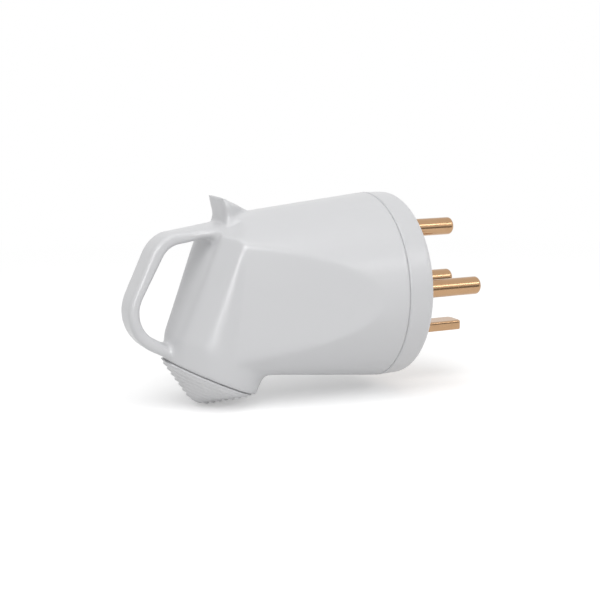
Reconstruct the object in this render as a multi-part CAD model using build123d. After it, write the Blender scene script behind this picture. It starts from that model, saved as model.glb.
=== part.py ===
from build123d import *

import os
from math import atan2, cos, degrees, hypot, radians, sin, tan

# Frame: origin at the centre of the front face, +X along the pins, +Z towards the thumb fin.
# All sizes are in millimetres and all angles in degrees.

# Front disc and tapered housing
FACE_RADIUS = 31.2
CARRIER_DEPTH = 9.3
HOUSING_TAPER = 5.7
HOUSING_WALL = 2.5
SEAM_CHAMFER = 0.35
FACE_DRAFT = 1.6
FACE_EDGE_RADIUS = 2.4

# Flat grips on both sides of the housing
GRIP_START = 18.2
GRIP_ANGLE = 16.2
GRIP_EDGE_RADIUS = 1.5

# Angled cable outlet: its axis leans back from vertical
OUTLET_ANGLE = 25.0
OUTLET_X = -66.8
OUTLET_Z = -0.837 * FACE_RADIUS
OUTLET_RADIUS = 0.53 * FACE_RADIUS
OUTLET_LIP = 1.0
OUTLET_LIP_HEIGHT = 1.6
NECK_HEIGHT = 1.39 * FACE_RADIUS
NECK_DRAFT = 1.7
NECK_WAIST_HEIGHT = 8.0
NECK_WAIST_SQUARENESS = 0.4
BACK_REACH = 1.155 * OUTLET_RADIUS
BACK_HALF_WIDTH = 0.67 * OUTLET_RADIUS
SIDE_BACK_ANGLE = 37.9
CORNER_RADIUS = 1.2
CROWN_RADIUS = 32.0
FLAT_ARC = 3.0

# Finger loop: corners of its outlines in the XZ plane, with z as a share of the face radius
LOOP_OUTER = [(-58.0, 0.7925), (-84.7, 0.6730), (-98.9, -0.3080), (-74.0, -0.7200)]
LOOP_OUTER_RADII = [11.5, 14.0]
LOOP_INNER = [(-58.0, 0.6800), (-81.2, 0.5600), (-94.3, -0.2190), (-70.0, -0.6780)]
LOOP_INNER_RADII = [7.0, 10.0]
LOOP_HALF_WIDTH = 5.0
LOOP_ROOT_HALF_WIDTH = 9.4
LOOP_FLARE_LENGTH = 14.0
LOOP_EDGE_RADIUS = 1.4

# Thumb fin: its back face leans back, and it is wider at its foot
FIN_BACK = -62.6
FIN_LEAN = 1.3
FIN_LENGTH = 11.2
FIN_TOP_HALF_WIDTH = 6.7
FIN_FOOT_HALF_WIDTH = 8.3
FIN_RISE = 6.2
FIN_TIP_RISE = -0.4
FIN_HOLLOW = 0.8
FIN_EDGE_RADIUS = 1.2

# Pins
PIN_MARGIN = 13.0
PIN_CIRCLE = FACE_RADIUS - PIN_MARGIN
PIN_RADIUS = 3.0
PIN_ROOT_RADIUS = 3.4
PIN_LENGTH = 24.0
PIN_TIP_RADIUS = 1.3
PIN_CLEARANCE = 0.1
FLANGE_RADIUS = 5.2
FLANGE_THICKNESS = 2.0
BARREL_RADIUS = 4.6
BARREL_LENGTH = 15.0
WIRE_HOLE_RADIUS = 2.6
WIRE_HOLE_DEPTH = 10.0
BLADE_WIDTH = 8.0
BLADE_THICKNESS = 3.3
BLADE_OFFSET = 1.5
BLADE_EXTRA = 3.8
BLADE_TAB_WIDTH = 11.0
BLADE_SHOULDER = 3.0
BLADE_TIP_LENGTH = 2.6
BLADE_TIP_BEVEL = 0.8

# Inside of the pin carrier
FACE_PLATE = 5.0
PIN_BOSS_DEPTH = 14.0
PIN_BOSS_WALL = 2.2
SPIGOT_LENGTH = 6.0
SPIGOT_WALL = 2.2
SPIGOT_CLEARANCE = 0.2

# Retaining plate with walls between the terminals
PLATE_MARGIN = 5.8
PLATE_RADIUS = PIN_CIRCLE + PLATE_MARGIN
PLATE_THICKNESS = 3.0
PLATE_CLEARANCE = 0.25
BARRIER_THICKNESS = 1.6
BARRIER_INNER = 7.4
BARRIER_MARGIN = 3.7
BARRIER_OUTER = PIN_CIRCLE - BARRIER_MARGIN
BARRIER_DEPTH = 13.0

# Screws that hold the carrier, their inserts, and screws that hold the retaining plate
SCREW_MARGIN = 1.8
SCREW_CIRCLE = PIN_CIRCLE + SCREW_MARGIN
FIXING_ANGLES = (135.0, 315.0)
PLATE_SCREW_ANGLES = (45.0, 225.0)
BOSS_RADIUS = 4.8
BOSS_TAIL = 4.0
BOSS_RIB = 3.0
FIXING_RADIUS = 1.9
FIXING_HEAD_RADIUS = 3.4
FIXING_HEAD_HEIGHT = 2.8
FIXING_RECESS = 3.2
FIXING_LENGTH = 20.5
INSERT_RADIUS = 2.9
INSERT_LENGTH = 8.0
PLATE_SCREW_RADIUS = 1.6
PLATE_SCREW_HEAD_RADIUS = 3.0
PLATE_SCREW_HEAD_HEIGHT = 2.2
PLATE_SCREW_LENGTH = 9.0
SCREW_CLEARANCE = 0.2
HOLE_RUN_OUT = 1.0

# Terminals
TERMINAL_SCREW_RADIUS = 1.9
TERMINAL_SCREW_INSET = 4.5
TERMINAL_HEAD_RADIUS = 2.7
TERMINAL_HEAD_HEIGHT = 1.6
SLOT_WIDTH = 0.8
SLOT_DEPTH = 0.9
PRESSURE_PLATE_RADIUS = 1.5
PRESSURE_PLATE_THICKNESS = 0.6
BLOCK_WIDTH = 10.0
BLOCK_HEIGHT = 7.2
BLOCK_EDGE_RADIUS = 1.0
RIVET_RADIUS = 1.1
RIVET_HEAD_RADIUS = 1.9
RIVET_HEAD_HEIGHT = 0.8
RIVET_Y = 3.8

# Sealing ring in the spigot
RING_SECTION = 0.8
RING_PLACE = 3.0
RING_CLEARANCE = 0.05

# Cable clamp across the neck
CLAMP_HEIGHT = 14.0
CLAMP_WIDTH = 8.0
CLAMP_WALL_MARGIN = 4.15
CLAMP_END_MARGIN = 2.6
CLAMP_TROUGH_MARGIN = 4.3
CLAMP_FLOOR = 2.5
CLAMP_HALF_SPAN = OUTLET_RADIUS - CLAMP_WALL_MARGIN
CLAMP_SCREW_OFFSET = CLAMP_HALF_SPAN - CLAMP_END_MARGIN
CLAMP_TROUGH_RADIUS = CLAMP_SCREW_OFFSET - CLAMP_TROUGH_MARGIN
CLAMP_SPLIT = 1.0
CLAMP_BASE_DEPTH = CLAMP_SPLIT + CLAMP_TROUGH_RADIUS + CLAMP_FLOOR
CLAMP_LUG = 3.0
CLAMP_ARCH_WALL = 2.0
CLAMP_BOSS_RADIUS = 3.2
CLAMP_SCREW_RADIUS = 1.5
CLAMP_SCREW_HEAD_RADIUS = 2.6
CLAMP_SCREW_HEAD_HEIGHT = 2.2
CLAMP_SCREW_LENGTH = 14.0

# Stepped grommet
GROMMET_RADIUS = OUTLET_RADIUS - 0.6
GROMMET_OFFSET = 0.6
GROMMET_GAP = 0.35
GROMMET_RIM = 0.5
GROMMET_NECK_RADIUS = GROMMET_RADIUS - 0.9
GROMMET_STEPS = 7
GROMMET_STEP_RUN = 1.8
GROMMET_STEP_RISE = 1.13
GROMMET_TIP_RADIUS = 2.2
GROMMET_TIP = 0.7
GROMMET_TIP_BEVEL = 0.6
GROMMET_WALL = 1.6
GROMMET_SPIGOT = 3.6
GROMMET_CLEARANCE = 0.15

# Stations along X
SEAM_X = -CARRIER_DEPTH
SPIGOT_END = SEAM_X - SPIGOT_LENGTH
PIN_BOSS_END = -PIN_BOSS_DEPTH
PLATE_FRONT = PIN_BOSS_END - FLANGE_THICKNESS
PLATE_BACK = PLATE_FRONT - PLATE_THICKNESS
BARREL_BACK = PLATE_FRONT - BARREL_LENGTH
SCREW_X = BARREL_BACK + TERMINAL_SCREW_INSET
BLOCK_LENGTH = PLATE_BACK - BARREL_BACK
BLADE_Z = BLADE_OFFSET - PIN_CIRCLE
BLOCK_Z = BLADE_Z + BLADE_THICKNESS / 2 + BLOCK_HEIGHT / 2

REACH = 4 * FACE_RADIUS
CENTRE_MIN = (Align.CENTER, Align.CENTER, Align.MIN)


def polar(radius, angle):
    return (radius * cos(radians(angle)), radius * sin(radians(angle)))


def other_side(point):
    return (point[0], -point[1])


def across_x(x, y=0.0, z=0.0):
    """Plane whose normal is +X and whose local axes are Y and Z."""
    return Plane(origin=(x, y, z), x_dir=(0, 1, 0), z_dir=(1, 0, 0))


def rod(x_start, x_end, radius, centre=(0.0, 0.0)):
    """Round bar along X, with its centre given in Y and Z."""
    return across_x(x_start, *centre) * Cylinder(radius, x_end - x_start, align=CENTRE_MIN)


def outlet_plane(height=0.0):
    """Plane across the outlet: local x points to the back, local z up into the housing."""
    lean = radians(OUTLET_ANGLE)
    up = Vector(sin(lean), 0, cos(lean))
    origin = Vector(OUTLET_X, 0, OUTLET_Z) + up * height
    return Plane(origin=origin, x_dir=(-cos(lean), 0, sin(lean)), z_dir=up)


def housing_radius(x):
    """Outer radius of the tapered housing at a station x."""
    return FACE_RADIUS + (x - SEAM_X) * tan(radians(HOUSING_TAPER))


def inner_radius(x):
    return housing_radius(x) - HOUSING_WALL / cos(radians(HOUSING_TAPER))


def grip_half_width(x):
    """Half width over the flat side grips, which start on the cone, at a station x."""
    return housing_radius(-GRIP_START) + (x + GRIP_START) * tan(radians(GRIP_ANGLE))


def tapered_barrel(inset, x_back):
    """The housing's cone, from its front edge back to x_back, moved inwards by inset."""
    shrink = inset / cos(radians(HOUSING_TAPER))
    back = housing_radius(x_back) - shrink
    front = FACE_RADIUS - shrink
    return across_x(x_back) * Cone(back, front, SEAM_X - x_back, align=CENTRE_MIN)


def grip_wedge(inset, x_back):
    """Everything between the two flat grips."""
    shrink = inset / cos(radians(GRIP_ANGLE))
    front = (0.0, grip_half_width(0.0) - shrink)
    back = (x_back, grip_half_width(x_back) - shrink)
    plan = Polygon(front, back, other_side(back), other_side(front), align=None)
    return extrude(plan, REACH / 2, both=True)


def line_crossing(angle_a, reach_a, angle_b, reach_b):
    """Where two lines meet, each given by its normal's angle and its distance from the axis."""
    ax, ay = polar(1.0, angle_a)
    bx, by = polar(1.0, angle_b)
    det = ax * by - ay * bx
    return ((reach_a * by - reach_b * ay) / det, (reach_b * ax - reach_a * bx) / det)


def neck_radius(inset, height):
    """Radius of the neck's round front, and half its width, at a height over the outlet."""
    return OUTLET_RADIUS + height * tan(radians(NECK_DRAFT)) - inset


def neck_corners(inset):
    """Back corner and side corner of the neck's top section, for one side."""
    nx, ny = polar(1.0, SIDE_BACK_ANGLE)
    side_back_reach = BACK_REACH * nx + BACK_HALF_WIDTH * ny - inset
    back = line_crossing(0.0, BACK_REACH - inset, SIDE_BACK_ANGLE, side_back_reach)
    side_reach = neck_radius(inset, NECK_HEIGHT)
    return back, line_crossing(SIDE_BACK_ANGLE, side_back_reach, 90.0, side_reach)


def corner_arc(point, angle_in, angle_out):
    """Three points of the small rounding at a corner, from the angles of its lines' normals."""
    middle = (angle_in + angle_out) / 2
    back_off = CORNER_RADIUS / cos(radians(angle_out - angle_in) / 2)
    dx, dy = polar(back_off, middle)
    centre = (point[0] - dx, point[1] - dy)
    arms = [polar(CORNER_RADIUS, angle) for angle in (angle_in, middle, angle_out)]
    return [(centre[0] + arm[0], centre[1] + arm[1]) for arm in arms]


def round_arc(radius, angle_in, angle_out):
    """Three points of an arc about the outlet's axis."""
    return [polar(radius, angle) for angle in (angle_in, (angle_in + angle_out) / 2, angle_out)]


def between(first, second):
    return ((first[0] + second[0]) / 2, (first[1] + second[1]) / 2)


def blended(round_edge, square_edge, squareness):
    """Three points of an edge between its round form and its square form."""
    pairs = zip(round_edge, square_edge)
    return [tuple(a + (b - a) * squareness for a, b in zip(*pair)) for pair in pairs]


def neck_ring(inset, height, squareness):
    """Section of the neck: round in front, and behind it as square as it is told."""
    radius = neck_radius(inset, height)
    back, side = neck_corners(inset)
    back_arc = corner_arc(back, 0.0, SIDE_BACK_ANGLE)
    side_arc = corner_arc(side, SIDE_BACK_ANGLE, 90.0)
    quarter = (0.0, radius)
    square_edges = [
        back_arc,
        [back_arc[2], between(back_arc[2], side_arc[0]), side_arc[0]],
        side_arc,
        [side_arc[2], between(side_arc[2], quarter), quarter],
    ]
    turns = [FLAT_ARC, SIDE_BACK_ANGLE - FLAT_ARC, SIDE_BACK_ANGLE + FLAT_ARC, 90.0 - FLAT_ARC, 90.0]
    round_edges = [round_arc(radius, *turns[i : i + 2]) for i in range(4)]
    upper = [blended(*pair, squareness) for pair in zip(round_edges, square_edges)]
    curves = [
        Line(points[0], points[2]) if squareness == 1.0 and place in (1, 3) else ThreePointArc(*points)
        for place, points in enumerate(upper)
    ]
    curves.append(ThreePointArc(quarter, polar(radius, 135.0), (-radius, 0.0)))
    lower = [mirror(curve, about=Plane.XZ) for curve in reversed(curves)]
    start = upper[0][0]
    if squareness == 1.0:
        closing = Line(other_side(start), start)
    else:
        middle = (radius + (back[0] - radius) * squareness, 0.0)
        closing = ThreePointArc(other_side(start), middle, start)
    return outlet_plane(height) * make_face([*curves, *lower, closing])


def neck_form(inset):
    """Neck: round at the outlet, and at the top a back face, two side-back faces and flat sides."""
    rings = [
        neck_ring(inset, 0.0, 0.0),
        neck_ring(inset, NECK_WAIST_HEIGHT, NECK_WAIST_SQUARENESS),
        neck_ring(inset, NECK_HEIGHT, 1.0),
    ]
    return loft(rings, ruled=True)


def neck_crown(inset):
    """The neck's top section carried straight up until the cone covers it."""
    back, side = neck_corners(inset)
    corners = [(0.0, side[1]), side, back]
    section = Polygon(*corners, *[other_side(point) for point in reversed(corners)], align=None)
    top = outlet_plane(NECK_HEIGHT)
    prism = extrude(top * section, NECK_HEIGHT / 3, dir=top.z_dir)
    return prism & tapered_barrel(inset, OUTLET_X - BACK_REACH)


def barrel_end(inset, height):
    """Point in XZ where the flat grips run into the neck's flat sides at a height of the neck."""
    grip = housing_radius(-GRIP_START) - inset / cos(radians(GRIP_ANGLE))
    x = -GRIP_START - (grip - neck_radius(inset, height)) / tan(radians(GRIP_ANGLE))
    lean = radians(OUTLET_ANGLE)
    return (x, OUTLET_Z + (height - (x - OUTLET_X) * sin(lean)) / cos(lean))


def barrel_form(inset):
    """Cone with flat grips and softened grip edges, up to the line where it enters the neck."""
    top, low = barrel_end(inset, NECK_HEIGHT), barrel_end(inset, 0.0)
    barrel = tapered_barrel(inset, low[0]) & grip_wedge(inset, low[0])
    if inset < GRIP_EDGE_RADIUS:
        edges = [edge for edge in barrel.edges() if edge.geom_type not in (GeomType.LINE, GeomType.CIRCLE)]
        barrel = fillet(edges, GRIP_EDGE_RADIUS - inset)
    slope = (top[0] - low[0]) / (top[1] - low[1])
    ends = [(low[0] + slope * (z - low[1]), z) for z in (-REACH / 2, REACH / 2)]
    side = Polygon(*ends, (SEAM_X, REACH / 2), (SEAM_X, -REACH / 2), align=None)
    return barrel & extrude(Plane.XZ * side, REACH / 2, both=True)


def loop_top(x):
    """Height of the loop's straight upper side, carried on to a station x."""
    (x_a, z_a), (x_b, z_b) = loop_points(LOOP_OUTER)[:2]
    return z_a + (z_b - z_a) * (x - x_a) / (x_b - x_a)


def fin_back_x(z):
    """Where the fin's leaning back face stands at a height z."""
    foot = loop_top(FIN_BACK)
    return FIN_BACK - FIN_LEAN * (z - foot) / (fin_top() - foot)


def fin_top():
    return housing_radius(FIN_BACK) + FIN_RISE


def behind_fin():
    """Everything behind the fin's back face and above the crowned top that runs into the loop."""
    foot, top = loop_top(FIN_BACK), REACH / 2
    far = FIN_BACK - REACH / 2
    side = Polygon((FIN_BACK, 0.0), (FIN_BACK, foot), (fin_back_x(top), top), (far, top), (far, 0.0), align=None)
    slope = atan2(foot - loop_top(far), FIN_BACK - far)
    crown = Pos(FIN_BACK, 0, foot) * Rot(0, -degrees(slope), 0) * Pos(0, 0, -CROWN_RADIUS) * Rot(0, 90, 0)
    return extrude(Plane.XZ * side, REACH / 2, both=True) - crown * Cylinder(CROWN_RADIUS, 2 * REACH)


def body_form(inset=0.0):
    """Barrel, neck and crown as one form moved inwards by inset; the outside carries the fin."""
    barrel = barrel_form(inset)
    if inset > 0.0:
        return barrel + neck_form(inset) + neck_crown(inset)
    barrel += thumb_fin()
    return barrel + neck_form(inset) + neck_crown(inset)


def back_face_x(z):
    """Where the neck's flat back face stands at a height z."""
    lean = radians(OUTLET_ANGLE)
    return OUTLET_X - (BACK_REACH - (z - OUTLET_Z) * sin(lean)) / cos(lean)


def loop_points(points):
    return [(x, z * FACE_RADIUS) for x, z in points]


def loop_plan():
    """Outline of the loop from above: parallel sides that flare where it joins the neck."""
    root = back_face_x(loop_top(FIN_BACK))
    start = root - LOOP_FLARE_LENGTH
    far = start - REACH / 2
    narrow, wide = LOOP_HALF_WIDTH, LOOP_ROOT_HALF_WIDTH
    upper = [
        Line((far, 0), (far, narrow)),
        Line((far, narrow), (start, narrow)),
        TangentArc((start, narrow), (root, wide), tangent=(1, 0)),
        Line((root, wide), (0, wide)),
        Line((0, wide), (0, 0)),
    ]
    lower = [mirror(edge, about=Plane.XZ) for edge in reversed(upper)]
    return extrude(make_face([*upper, *lower]), REACH / 2, both=True)


def finger_loop():
    """Bowed band with rounded edges behind the neck."""
    outer = FilletPolyline(*loop_points(LOOP_OUTER), radius=LOOP_OUTER_RADII)
    inner = FilletPolyline(*loop_points(LOOP_INNER), radius=LOOP_INNER_RADII)
    ends = [Line(outer @ 0, inner @ 0), Line(outer @ 1, inner @ 1)]
    side = make_face([*outer.edges(), *inner.edges(), *ends])
    loop = extrude(Plane.XZ * side, LOOP_ROOT_HALF_WIDTH, both=True) & loop_plan()
    corners = [edge for edge in loop.edges() if abs(edge.center().Y) > LOOP_HALF_WIDTH - 0.1]
    loop = fillet([edge for edge in corners if edge.bounding_box().size.X > 1.0], LOOP_EDGE_RADIUS)
    return loop & outlet_plane() * Box(2 * REACH, REACH, REACH, align=CENTRE_MIN)


def fin_section(z, half_width):
    """Level section of the fin: flat back and two hollow sides that meet at the tip."""
    back = fin_back_x(z)
    length = FIN_BACK + FIN_LENGTH - back
    slant = hypot(length, half_width)
    middle = (
        back + length / 2 - FIN_HOLLOW * half_width / slant,
        half_width / 2 - FIN_HOLLOW * length / slant,
    )
    edge = ThreePointArc((back, half_width), middle, (back + length, 0))
    closing = Line((back, half_width), (back, -half_width))
    return Pos(0, 0, z) * make_face([edge, mirror(edge, about=Plane.XZ), closing])


def thumb_fin():
    """Upright wedge at the housing's back edge, tapering to a point along the top."""
    foot = inner_radius(FIN_BACK)
    tip = FIN_BACK + FIN_LENGTH
    spread = FIN_FOOT_HALF_WIDTH - FIN_TOP_HALF_WIDTH
    above = fin_top() + FIN_RISE
    top_width = FIN_FOOT_HALF_WIDTH - spread * (above - foot) / (fin_top() - foot)
    fin = loft([fin_section(foot, FIN_FOOT_HALF_WIDTH), fin_section(above, top_width)], ruled=True)
    upright = [edge for edge in fin.edges() if edge.bounding_box().size.Z > FIN_RISE and edge.center().X < FIN_BACK]
    fin = fillet([edge for edge in upright if abs(edge.center().Y) > 1.0], FIN_EDGE_RADIUS)
    back = fin_back_x(above)
    tip_top = housing_radius(tip) + FIN_TIP_RISE
    top = (back, fin_top() + (fin_top() - tip_top) * (FIN_BACK - back) / FIN_LENGTH)
    slope = Polygon((back, foot), (tip, foot), (tip, tip_top), top, align=None)
    return fin & extrude(Plane.XZ * slope, REACH / 4, both=True)


def fixing_bosses():
    """Two bosses, each on a rib from the wall, that take the threaded inserts."""
    back = PLATE_FRONT - INSERT_LENGTH - BOSS_TAIL
    length = PLATE_FRONT - back
    bosses = []
    for angle in FIXING_ANGLES:
        web = Box(FACE_RADIUS, BOSS_RIB, length, align=(Align.MIN, Align.CENTER, Align.MIN))
        rib = across_x(back) * (Rot(0, 0, angle) * Pos(SCREW_CIRCLE, 0, 0) * web)
        bosses.append(rod(back, PLATE_FRONT, BOSS_RADIUS, polar(SCREW_CIRCLE, angle)) + rib)
    return bosses


def clamp_bar(radius, start, length, side):
    """Round bar on one of the clamp's screw lines, start measured from the outlet's axis."""
    line = outlet_plane(CLAMP_HEIGHT) * Pos(start, side * CLAMP_SCREW_OFFSET, 0) * Rot(0, 90, 0)
    return line * Cylinder(radius, length, align=CENTRE_MIN)


def clamp_bosses():
    """Two posts on the neck's front wall that carry the cable clamp."""
    length = OUTLET_RADIUS - (CLAMP_BASE_DEPTH - CLAMP_SPLIT)
    return [clamp_bar(CLAMP_BOSS_RADIUS, -OUTLET_RADIUS, length, side) for side in (-1, 1)]


def grommet_bore():
    """Radius left for the grommet, which stands a little behind the outlet's axis."""
    return OUTLET_RADIUS - HOUSING_WALL - GROMMET_OFFSET


def outlet_lip():
    """Inward lip at the outlet's rim that the grommet snaps over."""
    ring = Cylinder(OUTLET_RADIUS - HOUSING_WALL / 2, OUTLET_LIP_HEIGHT, align=CENTRE_MIN)
    hole = Cylinder(grommet_bore() - OUTLET_LIP, OUTLET_LIP_HEIGHT, align=CENTRE_MIN)
    return outlet_plane() * (ring - Pos(GROMMET_OFFSET, 0, 0) * hole)


def seam_bevel():
    """Ring that takes the corner off the housing's front edge."""
    start = SEAM_X - SEAM_CHAMFER
    bevel = Cone(FACE_RADIUS, FACE_RADIUS - SEAM_CHAMFER, SEAM_CHAMFER, align=CENTRE_MIN)
    return rod(start, SEAM_X, FACE_RADIUS + SEAM_CHAMFER) - across_x(start) * bevel


def rear_housing():
    """Moulded shell with grips, angled outlet, thumb fin and finger loop."""
    hollow = body_form(HOUSING_WALL)
    shell = (body_form() - hollow) + (finger_loop() - hollow) - behind_fin()
    skin = body_form(HOUSING_WALL / 2)
    for piece in [*fixing_bosses(), *clamp_bosses()]:
        shell += piece & skin
    shell += outlet_lip()
    screw_end = -FIXING_RECESS - FIXING_LENGTH - HOLE_RUN_OUT
    for angle in FIXING_ANGLES:
        centre = polar(SCREW_CIRCLE, angle)
        shell -= rod(PLATE_FRONT - INSERT_LENGTH, PLATE_FRONT, INSERT_RADIUS, centre)
        shell -= rod(screw_end, PLATE_FRONT, FIXING_RADIUS + SCREW_CLEARANCE, centre)
    for side in (-1, 1):
        tip = CLAMP_SPLIT + CLAMP_LUG - CLAMP_SCREW_LENGTH
        shell -= clamp_bar(CLAMP_SCREW_RADIUS, tip, CLAMP_SCREW_LENGTH, side)
    return shell - seam_bevel()


def pin_places():
    """Centre and direction of the wire screw for each round pin."""
    return {
        "phase_pin_1": (polar(PIN_CIRCLE, 90.0), 90.0),
        "phase_pin_2": (polar(PIN_CIRCLE, 180.0), 90.0),
        "phase_pin_3": (polar(PIN_CIRCLE, 0.0), 90.0),
        "neutral_pin": ((0.0, 0.0), PLATE_SCREW_ANGLES[0]),
    }


def terminals():
    """Centre, screw direction and height of the screw's seat for all five terminals."""
    rows = [(centre, angle, BARREL_RADIUS) for centre, angle in pin_places().values()]
    return [*rows, ((0.0, BLOCK_Z), 0.0, BLOCK_WIDTH / 2)]


def terminal_plane(centre, angle, start):
    """Plane across a terminal's screw line, at a distance from the terminal's axis."""
    dy, dz = polar(1.0, angle)
    origin = (SCREW_X, centre[0] + dy * start, centre[1] + dz * start)
    return Plane(origin=origin, x_dir=(1, 0, 0), z_dir=(0, dy, dz))


def terminal_bar(centre, angle, radius, start, end):
    """Round bar along a terminal's screw line."""
    return terminal_plane(centre, angle, start) * Cylinder(radius, end - start, align=CENTRE_MIN)


def round_pin(centre, screw_angle):
    """Turned pin: rounded tip, root, flange and a barrel drilled for the wire and its screw."""
    shank = rod(0.0, PIN_LENGTH, PIN_RADIUS, centre)
    shank = fillet(shank.faces().sort_by(Axis.X)[-1].edges(), PIN_TIP_RADIUS)
    pin = shank + rod(PIN_BOSS_END, 0.0, PIN_ROOT_RADIUS, centre)
    pin += rod(PLATE_FRONT, PIN_BOSS_END, FLANGE_RADIUS, centre)
    pin += rod(BARREL_BACK, PLATE_FRONT, BARREL_RADIUS, centre)
    pin -= rod(BARREL_BACK, BARREL_BACK + WIRE_HOLE_DEPTH, WIRE_HOLE_RADIUS, centre)
    return pin - terminal_bar(centre, screw_angle, TERMINAL_SCREW_RADIUS, 0.0, 2 * BARREL_RADIUS)


def slotted_screw(centre, angle, seat):
    """Cheese-head screw down on its terminal, with its tip on the pressure plate."""
    tip = WIRE_HOLE_RADIUS - PRESSURE_PLATE_THICKNESS
    top = seat + TERMINAL_HEAD_HEIGHT
    screw = terminal_bar(centre, angle, TERMINAL_SCREW_RADIUS, tip, seat)
    screw += terminal_bar(centre, angle, TERMINAL_HEAD_RADIUS, seat, top)
    slot = Box(SLOT_WIDTH, 3 * TERMINAL_HEAD_RADIUS, 2 * SLOT_DEPTH)
    return screw - terminal_plane(centre, angle, top) * slot


def terminal_screws():
    return [slotted_screw(*row) for row in terminals()]


def wire_pressure_plates():
    """Small discs in the wire holes, each under the tip of a terminal screw."""
    top = WIRE_HOLE_RADIUS - PRESSURE_PLATE_THICKNESS
    bottom = top - PRESSURE_PLATE_THICKNESS
    return [
        terminal_bar(centre, angle, PRESSURE_PLATE_RADIUS, bottom, top)
        for centre, angle, _ in terminals()
    ]


def blade_bar(x_start, x_end, width=BLADE_WIDTH, thickness=BLADE_THICKNESS):
    bar = Box(x_end - x_start, width, thickness, align=(Align.MIN, Align.CENTER, Align.CENTER))
    return Pos(x_start, 0, BLADE_Z) * bar


def rivet_places():
    """The two rivets stand beside the wire hole, one on each side."""
    x = BARREL_BACK + BLOCK_LENGTH - TERMINAL_SCREW_INSET / 2
    return [(x, -RIVET_Y), (x, RIVET_Y)]


def rivet_bar(place, radius, bottom, top):
    return Pos(place[0], place[1], bottom) * Cylinder(radius, top - bottom, align=CENTRE_MIN)


def earth_blade():
    """Flat blade with a narrowed, bevelled tip, shoulders behind the carrier and a tab."""
    front = blade_bar(PIN_BOSS_END, PIN_LENGTH + BLADE_EXTRA)
    corners = front.faces().sort_by(Axis.X)[-1].edges().filter_by(Axis.Z)
    front = chamfer(corners, BLADE_TIP_LENGTH, BLADE_TIP_LENGTH / 2)
    front = chamfer(front.faces().sort_by(Axis.X)[-1].edges().filter_by(Axis.Y), BLADE_TIP_BEVEL)
    shoulders = blade_bar(PLATE_FRONT, PIN_BOSS_END, BLADE_WIDTH + 2 * BLADE_SHOULDER)
    blade = front + shoulders + blade_bar(BARREL_BACK, PLATE_FRONT, BLADE_TAB_WIDTH)
    low = BLADE_Z - BLADE_THICKNESS
    for place in rivet_places():
        blade -= rivet_bar(place, RIVET_RADIUS, low, low + 2 * BLADE_THICKNESS)
    return blade


def earth_terminal():
    """Brass block riveted to the blade's tab, drilled for the wire and its screw."""
    block = Box(BLOCK_LENGTH, BLOCK_WIDTH, BLOCK_HEIGHT)
    block = fillet(block.edges().filter_by(Axis.X).group_by(Axis.Z)[-1], BLOCK_EDGE_RADIUS)
    block = Pos(BARREL_BACK + BLOCK_LENGTH / 2, 0, BLOCK_Z) * block
    block -= rod(BARREL_BACK, BARREL_BACK + WIRE_HOLE_DEPTH, WIRE_HOLE_RADIUS, (0.0, BLOCK_Z))
    block -= terminal_bar((0.0, BLOCK_Z), 0.0, TERMINAL_SCREW_RADIUS, 0.0, BLOCK_WIDTH)
    for place in rivet_places():
        block -= rivet_bar(place, RIVET_RADIUS, BLADE_Z, BLOCK_Z + BLOCK_HEIGHT)
    return block


def earth_rivets():
    """Rivets through the blade and the block, with a low head at each end."""
    bottom = BLADE_Z - BLADE_THICKNESS / 2
    top = BLOCK_Z + BLOCK_HEIGHT / 2
    rivets = []
    for place in rivet_places():
        rivet = rivet_bar(place, RIVET_RADIUS, bottom, top)
        rivet += rivet_bar(place, RIVET_HEAD_RADIUS, bottom - RIVET_HEAD_HEIGHT, bottom)
        rivets.append(rivet + rivet_bar(place, RIVET_HEAD_RADIUS, top, top + RIVET_HEAD_HEIGHT))
    return rivets


def spigot_radius():
    return inner_radius(SPIGOT_END) - SPIGOT_CLEARANCE


def ring_torus(clearance=0.0):
    """Ring in the spigot's groove, reaching out to the housing's inner wall."""
    station = SEAM_X - RING_PLACE
    centre = inner_radius(station) - RING_SECTION - RING_CLEARANCE
    return across_x(station) * Torus(centre, RING_SECTION + clearance)


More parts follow.
